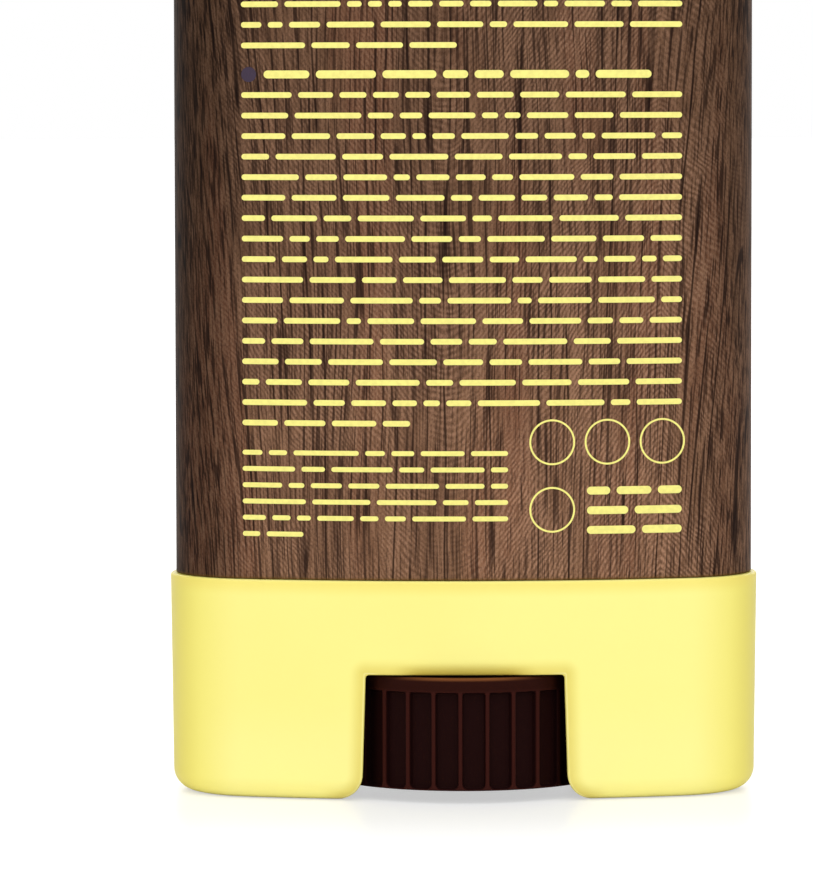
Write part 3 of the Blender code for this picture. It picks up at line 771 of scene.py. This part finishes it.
def dial_outside():
    """The ribbed wall. Each pitch has a flat panel, sunk by a smooth step of its distance inside a rounded
    rectangle. Its columns draw in with that rectangle's edge, so that they follow the round corners.
    """
    radius, height = dial_rows().T
    pitch_half = DIAL_RADIUS * math.sin(math.pi / RIBS)
    half = pitch_half - RIB_WIDTH / 2
    panel_low = DIAL_LOW[2] + FLUTE_FOOT_RISE
    panel_high = DIAL_TOP - BAND_HEIGHT
    middle = (panel_low + panel_high) / 2
    corner = np.where(height < middle, FLUTE_FOOT_RADIUS, FLUTE_TOP_RADIUS)
    inside = np.clip(np.abs(height - middle) - ((panel_high - panel_low) / 2 - corner), 0, corner)
    edge = half - corner + np.sqrt(corner**2 - inside**2)
    flat_shares = np.array([0, 0.3, 0.6, 0.78, 0.84])
    step_shares = np.linspace(0.87, 1.08, 13)
    crest_shares = np.array([0.5, 1.0])
    within = edge[:, None] * np.concatenate([flat_shares, step_shares])[None, :]
    beyond = within[:, -1:] + (pitch_half - within[:, -1:]) * crest_shares[None, :]
    half_pitch = np.concatenate([within, beyond], axis=1)
    across = np.concatenate([-half_pitch[:, :0:-1], half_pitch[:, :-1]], axis=1)
    past = np.abs(across) - (half - corner[:, None])
    above = np.abs(height - middle)[:, None] - ((panel_high - panel_low) / 2 - corner[:, None])
    gap = (np.hypot(np.maximum(past, 0), np.maximum(above, 0)) + np.minimum(np.maximum(past, above), 0)
           - corner[:, None])
    share = np.clip((FLUTE_SOFTNESS - gap) / (2 * FLUTE_SOFTNESS), 0, 1)
    sunk = share * share * (3 - 2 * share)
    reach = np.sqrt(radius[:, None] ** 2 - across**2)
    reach = reach - sunk * np.maximum(reach - (DIAL_RADIUS - FLUTE_DEPTH), 0)
    turn = RIB_TURN - math.pi / 2 + math.tau * (np.arange(RIBS) + 0.5) / RIBS
    reach, across = reach[:, None, :], across[:, None, :]
    cosine, sine = np.cos(turn)[None, :, None], np.sin(turn)[None, :, None]
    x = reach * cosine - across * sine
    y = reach * sine + across * cosine
    z = np.broadcast_to(height[:, None, None], x.shape)
    return np.stack([x, y, z], axis=-1).reshape(len(height), -1, 3)


def carried_rows(ring, profile):
    """Rows that carry a ring's directions to other radii and heights."""
    direction = ring[:, :2] / np.linalg.norm(ring[:, :2], axis=1)[:, None]
    return np.stack([np.column_stack([radius * direction, np.full(len(ring), height)])
                     for radius, height in profile])


def dial_wheel(material):
    """The thumbwheel: hollow below, ribbed outside, with the snap hub and its bore above."""
    outside = dial_outside()
    low, top = DIAL_LOW[2], DIAL_TOP
    inner = DIAL_RADIUS - DIAL_WALL
    web = top - WEB_THICKNESS
    boss = low + BOSS_RISE
    below = [(INNERMOST + CHAMFER, boss), (BOSS_RADIUS - BOSS_EDGE, boss), (BOSS_RADIUS, boss + BOSS_EDGE),
             (BOSS_RADIUS, web - 2 * CHAMFER), (BOSS_RADIUS + 2 * CHAMFER, web), (inner - WEB_ROUND, web),
             (inner, web - WEB_ROUND), (inner, low + CHAMFER), (inner + CHAMFER, low)]
    hub_top = DIAL_HIGH[2]
    lip, lip_low, bore_low = HUB_RADIUS + HUB_LIP, hub_top - HUB_LIP_HEIGHT, hub_top - HUB_BORE_DEPTH
    above = [(HUB_RADIUS + CHAMFER, top), (HUB_RADIUS, top + CHAMFER), (HUB_RADIUS, lip_low),
             (lip, lip_low), (lip, hub_top - HUB_CHAMFER), (lip - HUB_CHAMFER, hub_top),
             (HUB_BORE, hub_top), (HUB_BORE, bore_low), (INNERMOST, bore_low)]
    dial = skin("dial_wheel", np.concatenate([carried_rows(outside[0], below), outside,
                                              carried_rows(outside[-1], above)]))
    finish_piece(dial, material, "knob", ["dial"], sharp=50)


def dial_webs(material):
    """The stiffening webs under the dial: bars from its boss to its wall, evenly turned."""
    low = DIAL_LOW[2] + SPOKE_RISE
    high = DIAL_TOP - WEB_THICKNESS / 2
    start, end = BOSS_RADIUS - SPOKE_HALF, DIAL_RADIUS - DIAL_WALL / 2
    outline = ((-SPOKE_HALF, low), (SPOKE_HALF, low), (SPOKE_HALF, high), (-SPOKE_HALF, high))
    corners = np.array([(x, y, z) for y in (start, end) for x, z in outline])
    faces = np.array([(0, 1, 2, 3), (7, 6, 5, 4), (1, 0, 4, 5), (2, 1, 5, 6), (3, 2, 6, 7), (0, 3, 7, 4)])
    parts = []
    for i in range(SPOKES):
        cosine, sine = math.cos(math.tau * i / SPOKES), math.sin(math.tau * i / SPOKES)
        parts.append((corners @ np.array([(cosine, sine, 0), (-sine, cosine, 0), (0, 0, 1)]), faces))
    webs = joined_solid("dial_webs", parts)
    soften(webs, SPOKE_BEVEL)
    finish_piece(webs, material, "knob")


def screw_spindle(material):
    """The screw: its radius follows a flat-topped wave of the height less the turn's share of the lead."""
    low, high = SPINDLE_LOW[2], SPINDLE_HIGH[2]
    collar = DIAL_HIGH[2] + CHAMFER
    thread_low, thread_high = collar + COLLAR_HEIGHT, high - TIP_HEIGHT
    turn = np.linspace(0, math.tau, ROD_COLUMNS, endpoint=False)[None, :]
    height = np.linspace(thread_low, thread_high, THREAD_ROWS)[:, None]
    wave = np.cos(math.tau * height / LEAD - turn)
    ridge = np.clip(0.5 + THREAD_STEEPNESS * (wave - THREAD_SHIFT), 0, 1)
    ends = (np.clip((height - thread_low) / THREAD_RUN_OUT, 0, 1)
            * np.clip((thread_high - height) / THREAD_RUN_OUT, 0, 1))
    radius = THREAD_ROOT + (THREAD_CREST - THREAD_ROOT) * ridge * ends
    thread = np.stack([radius * np.cos(turn), radius * np.sin(turn), height + 0 * turn], axis=-1)
    root = turned_grid([(INNERMOST, low), (ROOT_RADIUS - 2 * CHAMFER, low),
                        (ROOT_RADIUS, low + 2 * CHAMFER), (ROOT_RADIUS, collar),
                        (COLLAR_RADIUS - CHAMFER, collar), (COLLAR_RADIUS, collar + CHAMFER),
                        (COLLAR_RADIUS, thread_low - CHAMFER), (COLLAR_RADIUS - CHAMFER, thread_low)],
                       ROD_COLUMNS)
    tip = turned_grid([(THREAD_ROOT - TIP_DRAW, high), (INNERMOST, high)], ROD_COLUMNS)
    spindle = skin("screw_spindle", np.concatenate([root, thread, tip]))
    finish_piece(spindle, material, "knob", ["spindle"], sharp=50)


def elevator_tray(material):
    """The tray with a low rim, on the boss that rides the screw."""
    outer, inner, edge = TRAY_OFFSET, TRAY_OFFSET - TRAY_WALL, 2 * CHAMFER
    plate_low = ELEVATOR_LOW[2] + TRAY_RISE
    plate_high = plate_low + TRAY_PLATE
    rim = plate_high + TRAY_RIM
    stations = wall((outer - CHAMFER, plate_low), (outer, plate_low + CHAMFER), (outer, rim - CHAMFER),
                    (outer - CHAMFER, rim), (inner + CHAMFER, rim), (inner, rim - CHAMFER),
                    (inner, plate_high + edge), (inner - edge, plate_high))
    tray = skin("elevator_tray", oval_grid(stations))
    low, high = ELEVATOR_LOW[2], ELEVATOR_HIGH[2]
    boss_profile = [(LIFT_END_RADIUS, low), (LIFT_RADIUS, low + edge), (LIFT_RADIUS, high - edge),
                    (LIFT_END_RADIUS, high)]
    bore_profile = [(LIFT_BORE, low - OVERRUN), (LIFT_BORE, high + OVERRUN)]
    boss = skin("boss", turned_grid(boss_profile, ROD_COLUMNS))
    bore = skin("bore", turned_grid(bore_profile, ROD_COLUMNS))
    combine(tray, [boss], "UNION")
    combine(tray, [bore])
    finish_piece(tray, material, "carriage", ["elevator"])


def balm_bar(material):
    """The bar of balm: an oval loft with a shoulder under the lid's plug and a full dome."""
    side = TRAY_OFFSET
    foot, foot_top = BALM_LOW[2], ELEVATOR_LOW[2] + BALM_FOOT_TOP
    shoulder = LID_LOW[2] - LID_PLAY
    tip = PLUG_INNER - LID_PLAY
    dome_foot = BARREL_HIGH[2] + DOME_RISE
    stations = np.concatenate([
        wall((BALM_FOOT_OFFSET, foot), (BALM_FOOT_OFFSET, foot_top), (side - BALM_EDGE, foot_top),
             (side, foot_top + BALM_EDGE), (side, shoulder - BALM_STEP)),
        fillet(side - BALM_ROUND, shoulder - BALM_STEP, BALM_ROUND, 0, 90),
        wall((tip, shoulder), (tip, shoulder + BALM_STEP)),
        dome(tip, dome_foot, BALM_HIGH[2] - dome_foot)])
    balm = skin("balm_bar", oval_grid(stations))
    core_top, boss_top = SPINDLE_HIGH[2] + CORE_OVER_SCREW, ELEVATOR_HIGH[2] + CORE_OVER_BOSS
    profile = [(CORE_WIDE, foot - OVERRUN), (CORE_WIDE, boss_top), (CORE_NARROW, boss_top),
               (CORE_NARROW, core_top)]
    core = skin("core", turned_grid(profile, ROD_COLUMNS))
    combine(balm, [core])
    finish_piece(balm, material, "carriage", ["balm"])


def inner_lid(material):
    """The thin dome over the balm: a plug in the mouth, a flange on the neck, a shell above."""
    mouth, plug_low = BARREL_HIGH[2], LID_LOW[2]
    flange_low = mouth + FLANGE_RISE
    flange_high = flange_low + FLANGE_HEIGHT
    shell, shell_foot = PLUG_INNER + LID_WALL, flange_high + CHAMFER
    dome_foot = mouth + DOME_RISE
    inside = dome(PLUG_INNER, dome_foot, BALM_HIGH[2] + LID_PLAY - dome_foot)[::-1]
    outside = np.concatenate([
        wall((PLUG_INNER, plug_low), (PLUG_OFFSET - CHAMFER, plug_low), (PLUG_OFFSET, plug_low + CHAMFER),
             (PLUG_OFFSET, flange_low), (FLANGE_OFFSET - LID_EDGE, flange_low),
             (FLANGE_OFFSET, flange_low + LID_EDGE), (FLANGE_OFFSET, flange_high - LID_EDGE),
             (FLANGE_OFFSET - LID_EDGE, flange_high), (shell + LID_SLOPE, flange_high)),
        dome(shell, shell_foot, LID_HIGH[2] - shell_foot)])
    lid = skin("inner_lid", oval_grid(np.concatenate([inside, outside])))
    finish_piece(lid, material, "inner_lid", ["seal_lid"])


def outer_cap(material):
    """The outer cap: a thin oval shell with a rounded edge and a crowned top, flush with the base."""
    low, edge_top = CAP_LOW[2], CAP_HIGH[2] - CAP_CROWN
    ceiling = edge_top - CAP_TOP_WALL
    corner, edge = CAP_INNER - CAP_INNER_ROUND, RIM_OFFSET - CAP_EDGE
    inside = np.concatenate([fillet(corner, ceiling - CAP_INNER_ROUND, CAP_INNER_ROUND, 0, 90, 10),
                             crown(corner, ceiling, CAP_CROWN)])[::-1]
    outside = np.concatenate([
        wall((CAP_INNER, low + 2 * CHAMFER), (CAP_INNER + RIM_ROUND, low)),
        fillet(RIM_OFFSET - RIM_ROUND, low + RIM_ROUND, RIM_ROUND, -90, 0),
        fillet(edge, edge_top - CAP_EDGE, CAP_EDGE, 0, 90, 14), crown(edge, edge_top, CAP_CROWN)])
    cap = skin("outer_cap", oval_grid(np.concatenate([inside, outside])))
    finish_piece(cap, material, "cap", ["cap"])


# Print on the barrel's front, in millimetres: rows of plain bars, four plain rings and a dot.
INK_PROUD = 0.015
BLOCK_LEFT = -11.85
BLOCK_RIGHT = 11.6
ROW_STEP = 1.09
BAR_HEIGHT = 0.30
TITLE_HEIGHT = 0.42
BAR_GAP = 0.34
BAR_STEP = 0.4
BAR_LENGTHS = (0.7, 3.4)
SHORT_ROW_RIGHT = -0.4
LAST_ROW_RIGHT = -2.9
TITLE_LEFT = BLOCK_LEFT + 1.2
TITLE_RIGHT = 9.95
TITLE_Z = 38.74
ROWS_BELOW_TITLE = 17
ROWS_ABOVE_TITLE = 16
TITLE_SPACE = 1.54
SMALL_RIGHT = 2.3
SMALL_TOP = 18.62
SMALL_STEP = 0.87
SMALL_ROWS = 6
SMALL_BAR_HEIGHT = 0.26
SMALL_LAST_RIGHT = -8.6
SIDE_LEFT = 6.5
SIDE_TOP = 16.6
SIDE_STEP = 1.05
SIDE_ROWS = 3
RING_PLACES = ((4.65, 19.2), (7.6, 19.2), (10.55, 19.2), (4.65, 15.6))
RING_RADIUS = 1.17
RING_LINE = 0.05
RING_STEPS = 64
DOT_RADIUS = 0.4
DOT_STEPS = 48


def front_depth(x):
    """How far forward the barrel's front arc lies at a place across it."""
    return -(np.sqrt(FRONT_RADIUS**2 - x**2) - (FRONT_RADIUS - HALF_DEPTH))


def ink_strip(across, low, high):
    """A thin closed slab on the front wall: a grid of four rows by columns, round its section."""
    depth = front_depth(across)
    rows = ((depth, low), (depth - INK_PROUD, low), (depth - INK_PROUD, high), (depth, high))
    return np.stack([np.column_stack([across, y, z + 0 * across]) for y, z in rows])


def ink_solid(name, strips):
    """Joins slabs, each a grid of four rows by columns that goes round its rows, with flat ends."""
    parts = []
    for strip in strips:
        columns = strip.shape[1]
        starts = np.arange(4) * columns
        ends = np.stack([starts, starts[::-1] + columns - 1])
        faces = np.concatenate([grid_quads(4, columns, rows_close=True, columns_close=False), ends])
        parts.append((strip.reshape(-1, 3), faces))
    return joined_solid(name, parts)


def bar_columns(start, end, height):
    """Places across a bar and its half height there: a half circle at each end, even between them.

    The half circles start a little off their tips, so that the flat ends have some height.
    """
    reach = min(height, end - start) / 2
    turn = np.linspace(0.12, math.pi / 2, 7)
    near = start + reach * (1 - np.sin(math.pi / 2 - turn))
    middle = np.arange(near[-1] + BAR_STEP, end - reach - BAR_STEP / 2, BAR_STEP)
    across = np.concatenate([near, middle, (start + end - near)[::-1]])
    share = np.sin(turn)
    return across, height / 2 * np.concatenate([share, np.ones(len(middle)), share[::-1]])


def bar_row(random, left, right, z, height):
    """A row of bars of chance lengths from margin to margin, with even gaps."""
    lengths = []
    while sum(lengths) + BAR_GAP * len(lengths) < right - left - BAR_LENGTHS[0]:
        lengths.append(random.uniform(*BAR_LENGTHS))
    lengths = np.array(lengths) * (right - left - BAR_GAP * (len(lengths) - 1)) / sum(lengths)
    starts = left + np.concatenate([[0], np.cumsum(lengths + BAR_GAP)[:-1]])
    strips = []
    for start, length in zip(starts, lengths):
        across, half = bar_columns(start, start + length, height)
        strips.append(ink_strip(across, z - half, z + half))
    return strips


def printed_rows(material):
    """The bars: a title row, full rows below and above it, and two smaller blocks at the foot."""
    random = np.random.default_rng(7)
    strips = bar_row(random, TITLE_LEFT, TITLE_RIGHT, TITLE_Z, TITLE_HEIGHT)
    for i in range(ROWS_BELOW_TITLE):
        right = LAST_ROW_RIGHT if i == ROWS_BELOW_TITLE - 1 else BLOCK_RIGHT
        strips += bar_row(random, BLOCK_LEFT, right, TITLE_Z - ROW_STEP * (i + 1), BAR_HEIGHT)
    for i in range(ROWS_ABOVE_TITLE):
        right = SHORT_ROW_RIGHT if i == 0 else BLOCK_RIGHT
        strips += bar_row(random, BLOCK_LEFT, right, TITLE_Z + TITLE_SPACE + ROW_STEP * i, BAR_HEIGHT)
    for i in range(SMALL_ROWS):
        right = SMALL_LAST_RIGHT if i == SMALL_ROWS - 1 else SMALL_RIGHT
        strips += bar_row(random, BLOCK_LEFT, right, SMALL_TOP - SMALL_STEP * i, SMALL_BAR_HEIGHT)
    for i in range(SIDE_ROWS):
        strips += bar_row(random, SIDE_LEFT, BLOCK_RIGHT, SIDE_TOP - SIDE_STEP * i, TITLE_HEIGHT)
    bars = ink_solid("printed_rows", strips)
    finish_piece(bars, material, "housing")


def round_grid(x, z, section, steps):
    """Circles on the front wall, one for each radius and each height out of it in a section."""
    turn = np.linspace(0, math.tau, steps, endpoint=False)
    rows = []
    for radius, proud in section:
        across = x + radius * np.cos(turn)
        rows.append(np.column_stack([across, front_depth(across) - proud, z + radius * np.sin(turn)]))
    return np.stack(rows)


def printed_rings(material):
    """Plain rings beside the small block: a small square section carried round each circle."""
    inner, outer = RING_RADIUS - RING_LINE, RING_RADIUS + RING_LINE
    section = ((inner, 0), (inner, INK_PROUD), (outer, INK_PROUD), (outer, 0))
    faces = grid_quads(4, RING_STEPS, rows_close=True)[:, ::-1]
    parts = [(round_grid(x, z, section, RING_STEPS).reshape(-1, 3), faces) for x, z in RING_PLACES]
    rings = joined_solid("printed_rings", parts)
    finish_piece(rings, material, "housing")


def printed_dot(material):
    """The round dot that opens the title row: a thin disc on the front wall."""
    section = ((DOT_RADIUS / 2, 0), (DOT_RADIUS, 0), (DOT_RADIUS, INK_PROUD), (DOT_RADIUS / 2, INK_PROUD))
    dot = skin("printed_dot", round_grid(BLOCK_LEFT + DOT_RADIUS, TITLE_Z, section, DOT_STEPS))
    finish_piece(dot, material, "housing")


# The camera, in metres, placed from the photograph: it looks a little down on the stick.
CAMERA_PLACE = (-0.0034, -0.3120, 0.0389)
CAMERA_AIM = (-0.00309, 0.0, 0.018855)
CAMERA_LENS = 235.0
CAMERA_ROLL = math.radians(-0.11)

# The lamps' names, places, widths and heights in metres, and powers. All of them face one point.
LAMP_AIM = (0.0, 0.0, 0.03)
LAMPS = (("front_box", (0.0, -0.70, 0.42), (1.75, 1.28), 7.5),
         ("back_box", (0.0, 0.80, 0.50), (1.0, 0.8), 3.5),
         ("top_box", (0.0, -0.12, 0.50), (0.5, 0.4), 0.5))
WORLD_LEVEL = 0.35

# The floor in metres and its gap under the stick in millimetres, then how much it is lifted to white, and
# how much more from near to far, in millimetres from the stick's oval.
FLOOR_HALF = 3.0
FLOOR_GAP = 0.02
FLOOR_LIFT = 0.53
FAR_LIFT = 0.22
LIFT_NEAR = 2.0
LIFT_FAR = 22.0


def turned_to(place, aim):
    """The turn that faces a camera or a lamp from its place to its aim."""
    return (Vector(aim) - Vector(place)).to_track_quat("-Z", "Y")


def add_camera():
    """The photograph's view, with a slight roll."""
    data = bpy.data.cameras.new("camera")
    data.lens = CAMERA_LENS
    data.sensor_width = 36
    data.clip_start = 0.01
    data.clip_end = 20
    camera = new_object("camera", data)
    camera.location = CAMERA_PLACE
    roll = Quaternion((0, 0, 1), CAMERA_ROLL)
    camera.rotation_euler = (turned_to(CAMERA_PLACE, CAMERA_AIM) @ roll).to_euler()
    bpy.context.scene.camera = camera


def add_lamp(name, place, size, power):
    """A rectangular lamp that faces the lamps' aim."""
    data = bpy.data.lights.new(name, "AREA")
    data.shape = "RECTANGLE"
    data.size, data.size_y = size
    data.energy = power
    lamp = new_object(name, data)
    lamp.location = place
    lamp.rotation_euler = turned_to(place, LAMP_AIM).to_euler()


def add_studio():
    """A pale even studio, white where it is seen or mirrored, with soft lamps round the stick."""
    world = bpy.data.worlds.new("studio")
    bpy.context.scene.world = world
    world.use_nodes = True
    nodes, links = world.node_tree.nodes, world.node_tree.links
    background = nodes["Background"]
    path = nodes.new("ShaderNodeLightPath")
    seen = nodes.new("ShaderNodeMath")
    seen.operation = "MAXIMUM"
    links.new(path.outputs["Is Camera Ray"], seen.inputs[0])
    links.new(path.outputs["Is Glossy Ray"], seen.inputs[1])
    level = nodes.new("ShaderNodeMapRange")
    links.new(seen.outputs[0], level.inputs["Value"])
    level.inputs["To Min"].default_value = WORLD_LEVEL
    level.inputs["To Max"].default_value = 1.0
    background.inputs["Color"].default_value = (1, 1, 1, 1)
    links.new(level.outputs[0], background.inputs["Strength"])
    for lamp in LAMPS:
        add_lamp(*lamp)


def add_floor():
    """A white floor that keeps the shadow, and is lifted to white for the camera away from the stick."""
    corners = np.array([(-1, -1, 0), (1, -1, 0), (1, 1, 0), (-1, 1, 0)]) * (FLOOR_HALF / MM)
    floor = solid("floor", corners - (0, 0, FLOOR_GAP), np.array([(0, 1, 2, 3)]))
    finish = Finish("floor_white", Roughness=0.30, Specular_IOR_Level=0.02)
    seen = finish.node("ShaderNodeLightPath", {}, output="Is Camera Ray")
    finish.set("Base Color", finish.mix(seen, (0.98, 0.98, 0.98), (0.5, 0.5, 0.5)))
    x, y = finish.parts(finish.place())[:2]
    across, along = finish.most(abs(x) - HALF_WIDTH, 0.0), finish.most(abs(y) - HALF_DEPTH, 0.0)
    away = (across * across + along * along) ** 0.5
    level = seen * (FLOOR_LIFT + finish.ramp(away, LIFT_NEAR, LIFT_FAR, 0.0, FAR_LIFT))
    lift = finish.node("ShaderNodeEmission", {}, Color=(1.0, 1.0, 1.0), Strength=level)
    total = finish.node("ShaderNodeAddShader", {}, Wire(finish, finish.shader.outputs[0]), lift)
    output = finish.tree.nodes["Material Output"]
    finish.tree.links.new(total.socket, output.inputs["Surface"])
    floor.data.materials.append(finish.material)


def main():
    bpy.context.scene.view_settings.view_transform = "Standard"
    yellow = yellow_plastic()
    screw_white = screw_plastic()
    dial_brown = dial_plastic()
    add_camera()
    add_studio()
    add_floor()
    base_shell(yellow)
    barrel_shell(wood_print())
    dial_wheel(dial_brown)
    dial_webs(dial_brown)
    screw_spindle(screw_white)
    elevator_tray(screw_white)
    balm_bar(balm_wax())
    inner_lid(lid_plastic())
    outer_cap(yellow)
    ink = print_ink("yellow_ink", srgb(250, 241, 134))
    printed_rows(ink)
    printed_rings(ink)
    printed_dot(print_ink("dark_ink", srgb(46, 27, 52)))


main()
